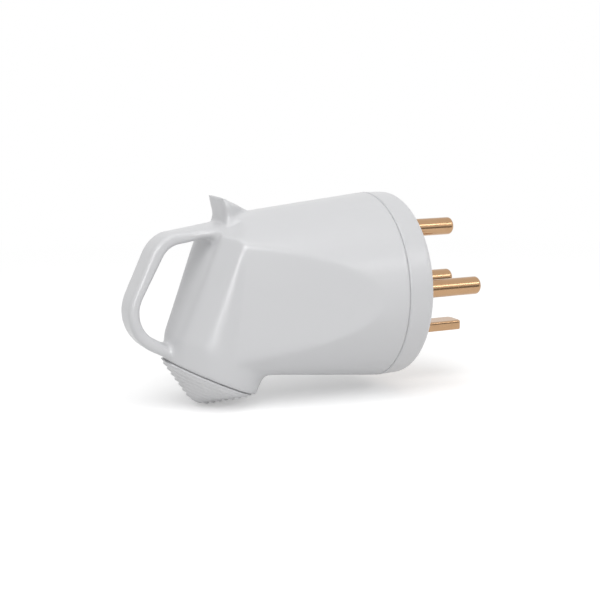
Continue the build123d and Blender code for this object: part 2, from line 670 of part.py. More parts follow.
def pin_carrier():
    """Moulded front disc, with a spigot behind it and a boss round each pin and screw."""
    front = FACE_RADIUS - CARRIER_DEPTH * tan(radians(FACE_DRAFT))
    disc = across_x(SEAM_X) * Cone(FACE_RADIUS, front, CARRIER_DEPTH, align=CENTRE_MIN)
    disc = fillet(disc.faces().sort_by(Axis.X)[-1].edges(), FACE_EDGE_RADIUS)
    disc = chamfer(disc.faces().sort_by(Axis.X)[0].edges(), SEAM_CHAMFER)
    carrier = disc + rod(SPIGOT_END, SEAM_X, spigot_radius())
    carrier -= rod(SPIGOT_END, -FACE_PLATE, spigot_radius() - SPIGOT_WALL)
    hole = PIN_ROOT_RADIUS + PIN_CLEARANCE
    for centre, _ in pin_places().values():
        carrier += rod(PIN_BOSS_END, -FACE_PLATE, hole + PIN_BOSS_WALL, centre)
    slot = (BLADE_WIDTH + 2 * PIN_CLEARANCE, BLADE_THICKNESS + 2 * PIN_CLEARANCE)
    boss = [side + 2 * PIN_BOSS_WALL for side in slot]
    carrier += blade_bar(PIN_BOSS_END, -FACE_PLATE, *boss)
    for angle in FIXING_ANGLES + PLATE_SCREW_ANGLES:
        carrier += rod(PLATE_FRONT, -FACE_PLATE, BOSS_RADIUS, polar(SCREW_CIRCLE, angle))
    for centre, _ in pin_places().values():
        carrier -= rod(PIN_BOSS_END, 0.0, hole, centre)
    carrier -= blade_bar(PIN_BOSS_END, 0.0, *slot)
    for angle in FIXING_ANGLES:
        centre = polar(SCREW_CIRCLE, angle)
        carrier -= rod(PLATE_FRONT, 0.0, FIXING_RADIUS + SCREW_CLEARANCE, centre)
        carrier -= rod(-FIXING_RECESS, 0.0, FIXING_HEAD_RADIUS + SCREW_CLEARANCE, centre)
    for angle in PLATE_SCREW_ANGLES:
        end = PLATE_BACK + PLATE_SCREW_LENGTH + HOLE_RUN_OUT
        carrier -= rod(PLATE_FRONT, end, PLATE_SCREW_RADIUS, polar(SCREW_CIRCLE, angle))
    return carrier - ring_torus()


def pin_retaining_plate():
    """Plate that traps the pin flanges, with walls between the neutral and three neighbours."""
    plate = rod(PLATE_BACK, PLATE_FRONT, PLATE_RADIUS)
    for angle in (*FIXING_ANGLES, PLATE_SCREW_ANGLES[1]):
        span = BARRIER_OUTER - BARRIER_INNER
        depth = BARRIER_DEPTH + PLATE_THICKNESS
        wall = Box(span, BARRIER_THICKNESS, depth, align=(Align.MIN, Align.CENTER, Align.MAX))
        plate += across_x(PLATE_FRONT) * (Rot(0, 0, angle) * Pos(BARRIER_INNER, 0, 0) * wall)
    for centre, _ in pin_places().values():
        plate -= rod(PLATE_BACK, PLATE_FRONT, BARREL_RADIUS + PLATE_CLEARANCE, centre)
    gap = 2 * PLATE_CLEARANCE
    plate -= blade_bar(PLATE_BACK, PLATE_FRONT, BLADE_TAB_WIDTH + gap, BLADE_THICKNESS + gap)
    for angle in FIXING_ANGLES:
        plate -= rod(PLATE_BACK, PLATE_FRONT, BOSS_RADIUS + PLATE_CLEARANCE, polar(SCREW_CIRCLE, angle))
    for angle in PLATE_SCREW_ANGLES:
        hole = PLATE_SCREW_RADIUS + SCREW_CLEARANCE
        plate -= rod(PLATE_BACK, PLATE_FRONT, hole, polar(SCREW_CIRCLE, angle))
    return plate


def screw_along_x(centre, seat, length, radius, head_radius, head_height, way):
    """Cross-slotted screw along X; way is 1 where the head faces +X and -1 where it faces back."""
    tip, top = seat - way * length, seat + way * head_height
    screw = rod(min(tip, seat), max(tip, seat), radius, centre)
    screw += rod(min(seat, top), max(seat, top), head_radius, centre)
    for turn in (0, 90):
        slot = Box(SLOT_WIDTH, 1.3 * head_radius, 2 * SLOT_DEPTH)
        screw -= across_x(top, *centre) * (Rot(0, 0, turn) * slot)
    return screw


def carrier_fixing_screws():
    sizes = (FIXING_LENGTH, FIXING_RADIUS, FIXING_HEAD_RADIUS, FIXING_HEAD_HEIGHT)
    return [
        screw_along_x(polar(SCREW_CIRCLE, angle), -FIXING_RECESS, *sizes, 1)
        for angle in FIXING_ANGLES
    ]


def retaining_plate_screws():
    sizes = (PLATE_SCREW_LENGTH, PLATE_SCREW_RADIUS, PLATE_SCREW_HEAD_RADIUS, PLATE_SCREW_HEAD_HEIGHT)
    return [
        screw_along_x(polar(SCREW_CIRCLE, angle), PLATE_BACK, *sizes, -1)
        for angle in PLATE_SCREW_ANGLES
    ]


def threaded_inserts():
    """Brass bushes in the housing's bosses, one for each fixing screw."""
    inserts = []
    for angle in FIXING_ANGLES:
        centre = polar(SCREW_CIRCLE, angle)
        bush = rod(PLATE_FRONT - INSERT_LENGTH, PLATE_FRONT, INSERT_RADIUS, centre)
        inserts.append(bush - rod(PLATE_FRONT - INSERT_LENGTH, PLATE_FRONT, FIXING_RADIUS, centre))
    return inserts


def clamp_box(start, end):
    """Bar across the neck between two distances behind the outlet's axis."""
    bar = Box(end - start, 2 * CLAMP_HALF_SPAN, CLAMP_WIDTH, align=(Align.MIN, Align.CENTER, Align.CENTER))
    return outlet_plane(CLAMP_HEIGHT) * (Pos(start, 0, 0) * bar)


def clamp_round(radius):
    """Round bar along the cable, centred where the clamp's two halves meet."""
    return outlet_plane(CLAMP_HEIGHT) * (Pos(CLAMP_SPLIT, 0, 0) * Cylinder(radius, CLAMP_WIDTH))


def cable_clamp_base():
    base = clamp_box(CLAMP_SPLIT - CLAMP_BASE_DEPTH, CLAMP_SPLIT) - clamp_round(CLAMP_TROUGH_RADIUS)
    for side in (-1, 1):
        hole = CLAMP_SCREW_RADIUS + SCREW_CLEARANCE
        base -= clamp_bar(hole, CLAMP_SPLIT - CLAMP_BASE_DEPTH, CLAMP_BASE_DEPTH, side)
    return base


def cable_clamp_saddle():
    arch = clamp_round(CLAMP_TROUGH_RADIUS + CLAMP_ARCH_WALL) & clamp_box(CLAMP_SPLIT, OUTLET_RADIUS)
    saddle = arch + clamp_box(CLAMP_SPLIT, CLAMP_SPLIT + CLAMP_LUG) - clamp_round(CLAMP_TROUGH_RADIUS)
    for side in (-1, 1):
        saddle -= clamp_bar(CLAMP_SCREW_RADIUS + SCREW_CLEARANCE, CLAMP_SPLIT, CLAMP_LUG, side)
    return saddle


def clamp_screws():
    """Self-tapping screws through the saddle and the base into the housing's posts."""
    seat = CLAMP_SPLIT + CLAMP_LUG
    screws = []
    for side in (-1, 1):
        screw = clamp_bar(CLAMP_SCREW_RADIUS, seat - CLAMP_SCREW_LENGTH, CLAMP_SCREW_LENGTH, side)
        screw += clamp_bar(CLAMP_SCREW_HEAD_RADIUS, seat, CLAMP_SCREW_HEAD_HEIGHT, side)
        top = Pos(seat + CLAMP_SCREW_HEAD_HEIGHT, side * CLAMP_SCREW_OFFSET, 0)
        slot = top * Box(2 * SLOT_DEPTH, SLOT_WIDTH, 3 * CLAMP_SCREW_HEAD_RADIUS)
        screws.append(screw - outlet_plane(CLAMP_HEIGHT) * slot)
    return screws


def grommet_outline():
    """Outer line of the grommet's section as radius and height, from its top down to its tip."""
    bore = grommet_bore()
    lip_top = OUTLET_LIP_HEIGHT + GROMMET_CLEARANCE
    groove = bore - OUTLET_LIP - GROMMET_CLEARANCE
    rim = -GROMMET_GAP - GROMMET_RIM
    points = [
        (bore - GROMMET_CLEARANCE, GROMMET_SPIGOT),
        (bore - GROMMET_CLEARANCE, lip_top),
        (groove, lip_top),
        (groove, 0.0),
        (GROMMET_NECK_RADIUS, 0.0),
        (GROMMET_NECK_RADIUS, -GROMMET_GAP),
        (GROMMET_RADIUS, -GROMMET_GAP),
        (GROMMET_RADIUS, rim),
    ]
    radius = GROMMET_TIP_RADIUS + GROMMET_STEPS * GROMMET_STEP_RUN
    height = rim
    points.append((radius, height))
    for _ in range(GROMMET_STEPS):
        height -= GROMMET_STEP_RISE
        points.append((radius, height))
        radius -= GROMMET_STEP_RUN
        points.append((radius, height))
    tip = height - GROMMET_TIP
    bevel = GROMMET_TIP_BEVEL
    return [*points, (radius, tip + bevel), (radius - bevel, tip), (0.0, tip)]


def cable_grommet():
    """Stepped soft cone, hollow inside and closed at its tip until it is cut to the cable."""
    outline = grommet_outline()
    tip = outline[-2]
    rim_height = outline[7][1]
    inside = [
        (0.0, tip[1] + GROMMET_WALL),
        (tip[0] - GROMMET_WALL / 2, tip[1] + GROMMET_WALL),
        (outline[2][0] - GROMMET_WALL, rim_height),
        (outline[2][0] - GROMMET_WALL, GROMMET_SPIGOT),
    ]
    lean = radians(OUTLET_ANGLE)
    centre = (outlet_plane() * Pos(GROMMET_OFFSET, 0, 0)).position
    section_plane = Plane(origin=centre, x_dir=(-cos(lean), 0, sin(lean)), z_dir=(0, 1, 0))
    section = section_plane * Polygon(*outline, *inside, align=None)
    return revolve(section, Axis(centre, outlet_plane().z_dir))


def write_node(name, shape):
    pieces = shape if isinstance(shape, list) else [shape]
    solids = [solid for piece in pieces for solid in piece.solids()]
    export_step(solids[0] if len(solids) == 1 else Compound(children=solids), f"parts/{name}.step")


def main():
    os.makedirs("parts", exist_ok=True)
    nodes = {
        "rear_housing": rear_housing(),
        "pin_carrier": pin_carrier(),
        "cable_grommet": cable_grommet(),
        "earth_blade": earth_blade(),
        "earth_terminal": earth_terminal(),
        "earth_rivets": earth_rivets(),
        "terminal_screws": terminal_screws(),
        "wire_pressure_plates": wire_pressure_plates(),
        "pin_retaining_plate": pin_retaining_plate(),
        "retaining_plate_screws": retaining_plate_screws(),
        "carrier_fixing_screws": carrier_fixing_screws(),
        "threaded_inserts": threaded_inserts(),
        "sealing_ring": ring_torus(),
        "cable_clamp_base": cable_clamp_base(),
        "cable_clamp_saddle": cable_clamp_saddle(),
        "clamp_screws": clamp_screws(),
    }
    for name, (centre, screw_angle) in pin_places().items():
        nodes[name] = round_pin(centre, screw_angle)
    for name, shape in nodes.items():
        write_node(name, shape)


main()
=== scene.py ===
import math

import bpy
import numpy as np
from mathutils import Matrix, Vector
from mathutils.bvhtree import BVHTree


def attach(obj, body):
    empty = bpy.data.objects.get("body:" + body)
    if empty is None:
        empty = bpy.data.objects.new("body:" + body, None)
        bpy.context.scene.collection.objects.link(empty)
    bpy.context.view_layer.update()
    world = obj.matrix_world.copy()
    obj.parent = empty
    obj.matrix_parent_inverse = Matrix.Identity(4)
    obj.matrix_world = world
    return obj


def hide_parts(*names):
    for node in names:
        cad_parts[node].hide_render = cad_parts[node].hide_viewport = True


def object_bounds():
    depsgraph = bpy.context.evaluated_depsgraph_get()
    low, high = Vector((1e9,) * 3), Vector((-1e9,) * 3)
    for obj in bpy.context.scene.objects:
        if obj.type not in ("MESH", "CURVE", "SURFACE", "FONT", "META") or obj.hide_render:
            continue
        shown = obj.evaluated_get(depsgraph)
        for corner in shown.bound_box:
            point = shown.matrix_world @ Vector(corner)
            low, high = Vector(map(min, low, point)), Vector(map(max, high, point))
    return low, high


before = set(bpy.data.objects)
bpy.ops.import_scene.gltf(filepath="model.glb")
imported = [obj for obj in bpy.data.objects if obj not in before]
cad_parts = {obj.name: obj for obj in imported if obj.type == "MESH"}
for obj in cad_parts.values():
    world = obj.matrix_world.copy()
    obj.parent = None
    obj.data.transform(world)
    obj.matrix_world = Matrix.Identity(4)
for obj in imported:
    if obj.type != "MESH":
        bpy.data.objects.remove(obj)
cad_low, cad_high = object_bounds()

bl_info = {
    "name": "Industrial plug finishes",
    "version": (1, 0, 0),
    "blender": (4, 5, 0),
    "location": "3D View > Sidebar > Plug",
    "description": "Finishes, lights and camera for the industrial plug",
    "category": "Object",
}

MM = 0.001
BODY = "root"
WHITE = (1.0, 1.0, 1.0, 1.0)

# Materials: samples of the rounded normal, the turn of the normal that counts as a full edge,
# the refraction of the mouldings, and how the brass inside differs from the pins
ROUNDING_SAMPLES = 6
EDGE_TURN = 0.12
MOULDING_IOR = 1.5
INNER_BRASS_TONE = 0.95
INNER_BRASS_ROUGHER = 0.08

# Surfaces of the solid housing, in millimetres in the shared frame. The slope is the change of
# the cone's radius along X. The outlet's plane is given by a point and the direction up the
# neck, both as X and Z.
CONE_FRONT = -9.3
CONE_RADIUS = 31.2
CONE_SLOPE = 0.0998
FIN_BACK = -61.5
OUTLET_POINT = (-66.8, -26.1)
OUTLET_DIRECTION = (0.4226, 0.9063)

# How the housing is reshaped, in millimetres. Here and below, a pair named SPAN gives where an
# effect starts and where it is complete, along the axis that its name ends with.
CONE_END = -56.5
CONE_END_DROP = 1.7
CONE_END_SPAN_X = (CONE_END, -62.5)
CONE_END_SPAN_Y = (17.5, 11.0)
CONE_END_LOWEST = 15.0
BESIDE_FIN = 7.0
FIN_WIDENING = 0.5
FIN_SPAN_X = (-50.0, -56.0)
FIN_SPAN_Y = (11.0, 5.0)
FIN_SPAN_Z = (23.0, 32.0)
FIN_CORNER_HEIGHT = 32.3
FIN_CORNER_SHARE = 0.35

# Where the housing's corners are soft, in millimetres. The spans without an axis are distances
# from the fin's back and from the outlet's plane. The stretches make a distance from the fin's
# foot count for less sideways, and for more above its top.
FIN_FOOT = (FIN_BACK, 0.0, 22.5)
FIN_FOOT_REACH = 10.0
FIN_FOOT_TOP = 23.5
FIN_FOOT_STRETCH_Y = 0.9
FIN_FOOT_STRETCH_ABOVE = 2.3
FIN_EDGE_SPAN = (3.06, 1.26)
FIN_EDGE_SPAN_Z = (24.5, 26.5)
UPPER_ROOT = (-69.0, 7.0, 18.8)
UPPER_ROOT_REACH = 7.5
LOWER_ROOT = (-82.0, 0.0, -16.5)
LOWER_ROOT_REACH = 9.0
THROAT_BACK_SPAN_X = (-68.0, -62.0)
THROAT_FRONT_SPAN_X = (-36.0, -42.0)
THROAT_SPAN_Z = (-9.0, -14.0)
RIDGE_FRONT_SPAN_X = (-62.0, -70.0)
RIDGE_BACK_SPAN_X = (-80.0, -76.0)
RIDGE_SPAN_Z = (16.0, 0.0)
LOOP_SPAN_X = (-71.0, -75.0)
OUTLET_RIM_SPAN = (0.4, 3.4)
SEAM_RIM_SPAN_X = (-9.8, -12.3)
OUTLET_LIP_SPAN = (4.0, 1.0)
OUTLET_LIP_SPAN_X = (-50.0, -55.0)

# How soft each of these places is, as a share of the softest, and the rest of the housing
SOFT_PLACES = {
    "fin_foot": 0.25,
    "fin_edge": 0.9,
    "upper_roots": 0.7,
    "lower_root": 1.0,
    "throat": 0.8,
    "ridge": 0.6,
}
SOFT_ELSEWHERE = 0.12
FIRMER_LOOP = 0.08

# How far a point moves towards its neighbours in one round
LEAST_GIVE = 0.015
MOST_GIVE = 0.5
OUTLET_LIP_GIVE = 0.05
SMALL_PIECE_GIVE = 0.4

# Stage, in metres
KEY_LIGHT_PLACE = (-0.25, -0.35, 0.75)
KEY_LIGHT_SIZE = (0.7, 0.7)
STRIP_LIGHT_PLACE = (0.35, -0.6, 0.42)
STRIP_LIGHT_SIZE = (0.7, 0.1)
EDGE_LIGHT_ABOVE_CAMERA = 0.03
EDGE_LIGHT_SIZE = (0.2, 0.2)
CARD_START = (0.065, -0.17)
CARD_END = (0.2, -0.17)
CARD_TOP = 0.026
CARD_GREY = 0.25
FLOOR_GAP = 0.2 * MM
FLOOR_GLOW = 0.34
FLOOR_FADE = (0.14, 0.4)
SENSOR_WIDTH_MM = 36.0
NEAREST_SEEN = 0.01


class Value:
    """Output socket of a node; arithmetic on it adds Math nodes to the same material."""

    def __init__(self, sheet, socket):
        self.sheet = sheet
        self.socket = socket

    def math(self, operation, *operands):
        return self.sheet.add("ShaderNodeMath", {"operation": operation}, dict(enumerate(operands)))

    def __add__(self, other):
        return self.math("ADD", self, other)

    __radd__ = __add__

    def __sub__(self, other):
        return self.math("SUBTRACT", self, other)

    def __rsub__(self, other):
        return self.math("SUBTRACT", other, self)

    def __mul__(self, other):
        return self.math("MULTIPLY", self, other)

    __rmul__ = __mul__


class NodeSheet:
    """Node tree of a material or world, filled through one method."""

    def __init__(self, owner):
        owner.use_nodes = True
        self.tree = owner.node_tree
        self.tree.nodes.clear()

    def add(self, kind, settings=None, inputs=None, output=0):
        """Adds a node with its settings, then its sockets' values or links; returns one output."""
        node = self.tree.nodes.new(kind)
        for name, setting in (settings or {}).items():
            if name == "stops":
                self.set_stops(node.color_ramp, setting)
            else:
                setattr(node, name, setting)
        for key, value in (inputs or {}).items():
            socket = self.find(node.inputs, key)
            if isinstance(value, Value):
                self.tree.links.new(value.socket, socket)
            else:
                socket.default_value = value
        if not node.outputs:
            return None
        return Value(self, self.find(node.outputs, output))

    @staticmethod
    def find(sockets, key):
        """Socket by its place, its identifier or its name."""
        if isinstance(key, int):
            return sockets[key]
        for socket in sockets:
            if socket.identifier == key:
                return socket
        return sockets[key]

    @staticmethod
    def set_stops(ramp, stops):
        """Sets the position and the grey level of a ramp's two stops."""
        for element, (position, level) in zip(ramp.elements, stops):
            element.position = position
            element.color = (level, level, level, 1.0)

    def place(self, stretch=(1.0, 1.0, 1.0)):
        """Point on the piece in metres, stretched along its axes."""
        point = self.add("ShaderNodeTexCoord", output="Object")
        values = {"Vector": point, "Scale": stretch}
        return self.add("ShaderNodeMapping", {"vector_type": "POINT"}, values)

    def noise(self, point, scale, detail, roughness=0.5):
        """Smooth noise between 0 and 1, with scale in waves per metre."""
        values = {"Vector": point, "Scale": scale, "Detail": detail, "Roughness": roughness}
        return self.add("ShaderNodeTexNoise", {"noise_dimensions": "3D"}, values)

    def ramp(self, value, start, end):
        """0 up to start, rising to 1 at end."""
        return self.add("ShaderNodeValToRGB", {"stops": [(start, 0.0), (end, 1.0)]}, {0: value})

    def patches(self, point, scale, detail, roughness, start, end):
        """Scattered patches: 1 where the noise is above end, fading to 0 at start."""
        return self.ramp(self.noise(point, scale, detail, roughness), start, end)

    def mix(self, factor, first, second):
        """Colour between first and second."""
        values = {"Factor_Float": factor, "A_Color": first, "B_Color": second}
        return self.add("ShaderNodeMix", {"data_type": "RGBA"}, values, "Result_Color")

    def rounded(self, radius):
        """Normal of the surface as if its edges were rounded by radius."""
        return self.add("ShaderNodeBevel", {"samples": ROUNDING_SAMPLES}, {"Radius": radius})

    def edge_mask(self, normal):
        """1 on a rounded edge and 0 on the flats beside it."""
        flat = self.add("ShaderNodeNewGeometry", output="Normal")
        same = self.add(
            "ShaderNodeVectorMath", {"operation": "DOT_PRODUCT"}, {0: normal, 1: flat}, "Value"
        )
        return self.ramp(1.0 - same, 0.0, EDGE_TURN)

    def bump(self, height, depth, normal):
        """Fine relief of a depth in metres on top of a normal."""
        values = {"Height": height, "Distance": depth, "Strength": 1.0, "Normal": normal}
        return self.add("ShaderNodeBump", None, values)

    def glow(self, colour, strength):
        return self.add("ShaderNodeEmission", None, {"Color": colour, "Strength": strength})

    def background(self, strength):
        return self.add("ShaderNodeBackground", None, {"Color": WHITE, "Strength": strength})

    def blend(self, factor, first, second):
        """Shader between first and second."""
        return self.add("ShaderNodeMixShader", None, {0: factor, 1: first, 2: second})

    def seen_by_eye(self):
        """1 for rays from the camera, off glossy surfaces and through glass, otherwise 0."""
        camera, glossy, glass = [
            self.add("ShaderNodeLightPath", output=name)
            for name in ("Is Camera Ray", "Is Glossy Ray", "Is Transmission Ray")
        ]
        settings = {"operation": "ADD", "use_clamp": True}
        return self.add("ShaderNodeMath", settings, {0: camera + glossy, 1: glass})

    def surface(self, values):
        shader = self.add("ShaderNodeBsdfPrincipled", None, values)
        self.show(shader)

    def show(self, shader):
        """Sends a shader to the material's output."""
        self.add("ShaderNodeOutputMaterial", None, {"Surface": shader})


def tone(colour, factor):
    """Colour made lighter or darker, with full alpha."""
    return (*[channel * factor for channel in colour[:3]], 1.0)


def new_material(name):
    material = bpy.data.materials.new(name)
    return material, NodeSheet(material)


def moulded_plastic(name, colour, roughness, edge_radius):
    """Smooth moulding: faint flow shades, orange-peel gloss, small scuffs, and polished edges made
    lighter, partly as rubbed wear and partly as a painted highlight.
    """
    material, sheet = new_material(name)
    point = sheet.place()
    flow = sheet.noise(sheet.place(stretch=(14.0, 14.0, 40.0)), scale=1.0, detail=2.0)
    grain = sheet.noise(point, scale=1400.0, detail=2.0)
    peel = sheet.noise(point, scale=420.0, detail=2.0)
    scuffs = sheet.patches(point, scale=95.0, detail=5.0, roughness=0.7, start=0.6, end=0.72)
    rounded = sheet.rounded(edge_radius)
    edges = sheet.edge_mask(rounded)
    base = sheet.mix(flow, tone(colour, 0.975), tone(colour, 1.02))
    base = sheet.mix(scuffs * 0.12, base, tone(colour, 0.9))
    # Painted highlight, partly rubbed wear: the base colour is lifted on the rounded edges.
    base = sheet.mix(edges * 0.25, base, tone(colour, 1.06))
    sheet.surface(
        {
            "Base Color": base,
            "Roughness": roughness + (grain - 0.5) * 0.06 + scuffs * 0.07 - edges * 0.06,
            "Normal": sheet.bump(grain * 0.35 + peel, 0.012 * MM, rounded),
            "IOR": MOULDING_IOR,
        }
    )
    return material


def soft_rubber(name, colour, roughness, edge_radius):
    """Soft moulding: dull bloom in patches, fine pitted grain, and paler edges, partly as rubbed
    wear and partly as a painted highlight.
    """
    material, sheet = new_material(name)
    point = sheet.place()
    bloom = sheet.patches(point, scale=150.0, detail=4.0, roughness=0.6, start=0.35, end=0.7)
    grain = sheet.noise(point, scale=1900.0, detail=3.0, roughness=0.6)
    rounded = sheet.rounded(edge_radius)
    edges = sheet.edge_mask(rounded)
    base = sheet.mix(bloom * 0.5, tone(colour, 0.96), tone(colour, 1.05))
    # Painted highlight, partly rubbed wear: the base colour is made paler on the rounded edges.
    base = sheet.mix(edges * 0.4, base, tone(colour, 1.14))
    sheet.surface(
        {
            "Base Color": base,
            "Roughness": roughness + bloom * 0.08 + (grain - 0.5) * 0.1,
            "Normal": sheet.bump(grain, 0.03 * MM, rounded),
            "IOR": MOULDING_IOR,
            "Sheen Weight": 0.08,
            "Sheen Roughness": 0.5,
        }
    )
    return material


def turned_brass(name, colour, roughness, edge_radius):
    """Drawn and turned brass: fine rings and streaks, darker tarnish, and brighter edges, partly as
    rubbed wear and partly as a painted highlight.
    """
    material, sheet = new_material(name)
    point = sheet.place()
    rings = sheet.noise(sheet.place(stretch=(6500.0, 90.0, 90.0)), scale=1.0, detail=2.0)
    streaks = sheet.noise(sheet.place(stretch=(9.0, 1300.0, 1300.0)), scale=1.0, detail=3.0)
    tarnish = sheet.patches(point, scale=260.0, detail=5.0, roughness=0.65, start=0.45, end=0.72)
    rounded = sheet.rounded(edge_radius)
    edges = sheet.edge_mask(rounded)
    tarnished = (colour[0] * 0.78, colour[1] * 0.68, colour[2] * 0.6, 1.0)
    base = sheet.mix(tarnish * 0.3, colour, tarnished)
    base = sheet.mix(streaks * 0.5, base, tone(colour, 0.8))
    # Painted highlight, partly rubbed wear: the base colour is made brighter on the rounded edges.
    base = sheet.mix(edges * 0.5, base, tone(colour, 1.12))
    sheet.surface(
        {
            "Base Color": base,
            "Metallic": 1.0,
            "Roughness": roughness + (rings - 0.5) * 0.08 + tarnish * 0.06,
            "Normal": sheet.bump(rings * 0.3 + streaks, 0.004 * MM, rounded),
        }
    )
    return material


def plated_steel(name, colour, roughness, edge_radius):
    """Zinc plate: fine grain with a faint spangle, and brighter edges, partly as rubbed wear and
    partly as a painted highlight.
    """
    material, sheet = new_material(name)
    point = sheet.place()
    grain = sheet.noise(point, scale=2600.0, detail=2.0)
    spangle = sheet.noise(point, scale=480.0, detail=1.0)
    rounded = sheet.rounded(edge_radius)
    edges = sheet.edge_mask(rounded)
    base = sheet.mix(spangle * 0.5, tone(colour, 0.82), tone(colour, 1.08))
    sheet.surface(
        {
            # Painted highlight, partly rubbed wear: the base colour is made brighter on the rounded
            # edges.
            "Base Color": sheet.mix(edges * 0.6, base, tone(colour, 1.2)),
            "Metallic": 1.0,
            "Roughness": roughness + (grain - 0.5) * 0.18,
            "Normal": sheet.bump(grain, 0.008 * MM, rounded),
        }
    )
    return material


def even_skin(node, name, step):
    """Closed copy of a CAD node with small, even faces, and the CAD surface it was made from."""
    surface = node.data.copy()
    surface.transform(node.matrix_world)
    piece = bpy.data.objects.new(name, surface)
    bpy.context.scene.collection.objects.link(piece)
    net = piece.modifiers.new("net", "REMESH")
    net.mode = "VOXEL"
    net.voxel_size = step
    ready = piece.evaluated_get(bpy.context.evaluated_depsgraph_get())
    skin = bpy.data.meshes.new_from_object(ready)
    piece.modifiers.clear()
    piece.data = skin
    return piece, surface


def numbers(items, field, width, kind):
    """Numbers of a mesh's points or edges as an array with one row each."""
    values = np.empty(len(items) * width, kind)
    items.foreach_get(field, values)
    return values.reshape(-1, width)


def laid_on(points, mesh):
    """Points moved to the nearest place on a mesh."""
    surface = BVHTree.FromPolygons(
        [vertex.co for vertex in mesh.vertices], [face.vertices for face in mesh.polygons]
    )
    return np.array([surface.find_nearest(point)[0] for point in points])


def eased(value):
    """Smooth rise from 0 to 1."""
    value = np.clip(value, 0.0, 1.0)
    return value * value * (3.0 - 2.0 * value)


def rise(value, span):
    """Smooth rise from 0 where a span starts to 1 where it ends, which may lie before its start."""
    start, end = span
    return eased((value - start) / (end - start))


def near(points, centre, reach, stretch=1.0):
    """1 at a centre, falling smoothly to 0 at its reach."""
    return eased(1.0 - np.linalg.norm((points - centre) * stretch, axis=1) / reach)


def relaxed(points, edges, share, rounds):
    """Points moved towards their neighbours, each by its own share."""
    first, second = edges.T
    amount = len(points)
    count = np.bincount(edges.ravel(), minlength=amount)[:, None]
    for _ in range(rounds):
        total = [
            np.bincount(first, points[second, axis], amount)
            + np.bincount(second, points[first, axis], amount)
            for axis in range(3)
        ]
        points = points + (np.stack(total, axis=1) / count - points) * share
    return points


def softened(node, name, step, softness, rounds, reshaped=None):
    """Skin with soft corners that replaces a CAD node.

    softness is one share for all points, or a function that gives each point's share.
    """
    skin, surface = even_skin(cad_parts[node], name, step)
    points = laid_on(numbers(skin.data.vertices, "co", 3, np.float32), surface) / MM
    edges = numbers(skin.data.edges, "vertices", 2, np.int32)
    if reshaped:
        points = reshaped(points)
    share = softness(points)[:, None] if callable(softness) else softness
    points = relaxed(points, edges, share, rounds)
    skin.data.vertices.foreach_set("co", (points * MM).ravel())
    skin.data.update()
    skin.data.shade_smooth()
    skin.data.materials.clear()
    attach(skin, BODY)
    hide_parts(node)
    return skin


def dress(nodes, material):
    """Gives CAD nodes one material in every slot."""
    for name in nodes:
        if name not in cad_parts:
            raise RuntimeError(f"the model has no node named {name}")
        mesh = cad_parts[name].data
        if not mesh.materials:
            mesh.materials.append(material)
        for place in range(len(mesh.materials)):
            mesh.materials[place] = material


def colour_field(label, words, *colour):
    return bpy.props.FloatVectorProperty(
        name=label,
        description=words,
        default=(*colour, 1.0),
        size=4,
        min=0.0,
        max=1.0,
        subtype="COLOR",
    )


def share_field(label, words, default):
    return bpy.props.FloatProperty(name=label, description=words, default=default, min=0.0, max=1.0)


def length_field(label, words, default):
    return bpy.props.FloatProperty(
        name=label, description=words, default=default, min=0.0, subtype="DISTANCE", unit="LENGTH"
    )


def rounds_field(label, words, default):
    return bpy.props.IntProperty(name=label, description=words, default=default, min=0)


def angle_field(label, words, default):
    return bpy.props.FloatProperty(name=label, description=words, default=default, subtype="ANGLE")


def power_field(label, words, default):
    return bpy.props.FloatProperty(
        name=label, description=words, default=default, min=0.0, subtype="POWER"
    )


class PlugFinishSettings(bpy.types.PropertyGroup):
    """Colours and finishes of the plug's pieces."""

    housing_colour: colour_field("Housing", "Colour of the rear housing", 0.64, 0.643, 0.655)
    housing_step: length_field("Housing skin", "Size of its skin's faces", 0.62 * MM)
    housing_rounds: rounds_field("Housing rounds", "How long its skin is relaxed", 32)
    carrier_colour: colour_field("Pin carrier", "Colour of the front disc", 0.635, 0.638, 0.65)
    plastic_roughness: share_field("Plastic roughness", "Roughness of the mouldings", 0.3)
    plastic_edge: length_field("Moulded edge", "Rounding of the mouldings' edges", 0.8 * MM)
    grommet_colour: colour_field("Grommet", "Colour of the cable grommet", 0.705, 0.705, 0.715)
    grommet_roughness: share_field("Grommet roughness", "Roughness of the grommet", 0.4)
    grommet_step: length_field("Grommet skin", "Size of its skin's faces", 0.35 * MM)
    grommet_rounds: rounds_field("Grommet rounds", "How long its skin is relaxed", 5)
    grommet_edge: length_field("Grommet edge", "Rounding of the grommet's steps", 0.35 * MM)
    brass_colour: colour_field("Pins", "Colour of the pins and the blade", 0.525, 0.33, 0.188)
    brass_roughness: share_field("Brass roughness", "Roughness of the pins", 0.17)
    blade_step: length_field("Blade skin", "Size of its skin's faces", 0.3 * MM)
    blade_rounds: rounds_field("Blade rounds", "How long its skin is relaxed", 10)
    metal_edge: length_field("Metal edge", "Rounding of the metal pieces' edges", 0.25 * MM)
    steel_colour: colour_field("Screws", "Colour of the plated screws", 0.62, 0.62, 0.6)
    steel_roughness: share_field("Screw roughness", "Roughness of the plated screws", 0.34)
    inner_colour: colour_field("Inner mouldings", "Colour of the pieces inside", 0.05, 0.05, 0.053)
    ring_colour: colour_field("Sealing ring", "Colour of the sealing ring", 0.02, 0.02, 0.02)
    inner_roughness: share_field("Inner roughness", "Roughness of the mouldings inside", 0.5)


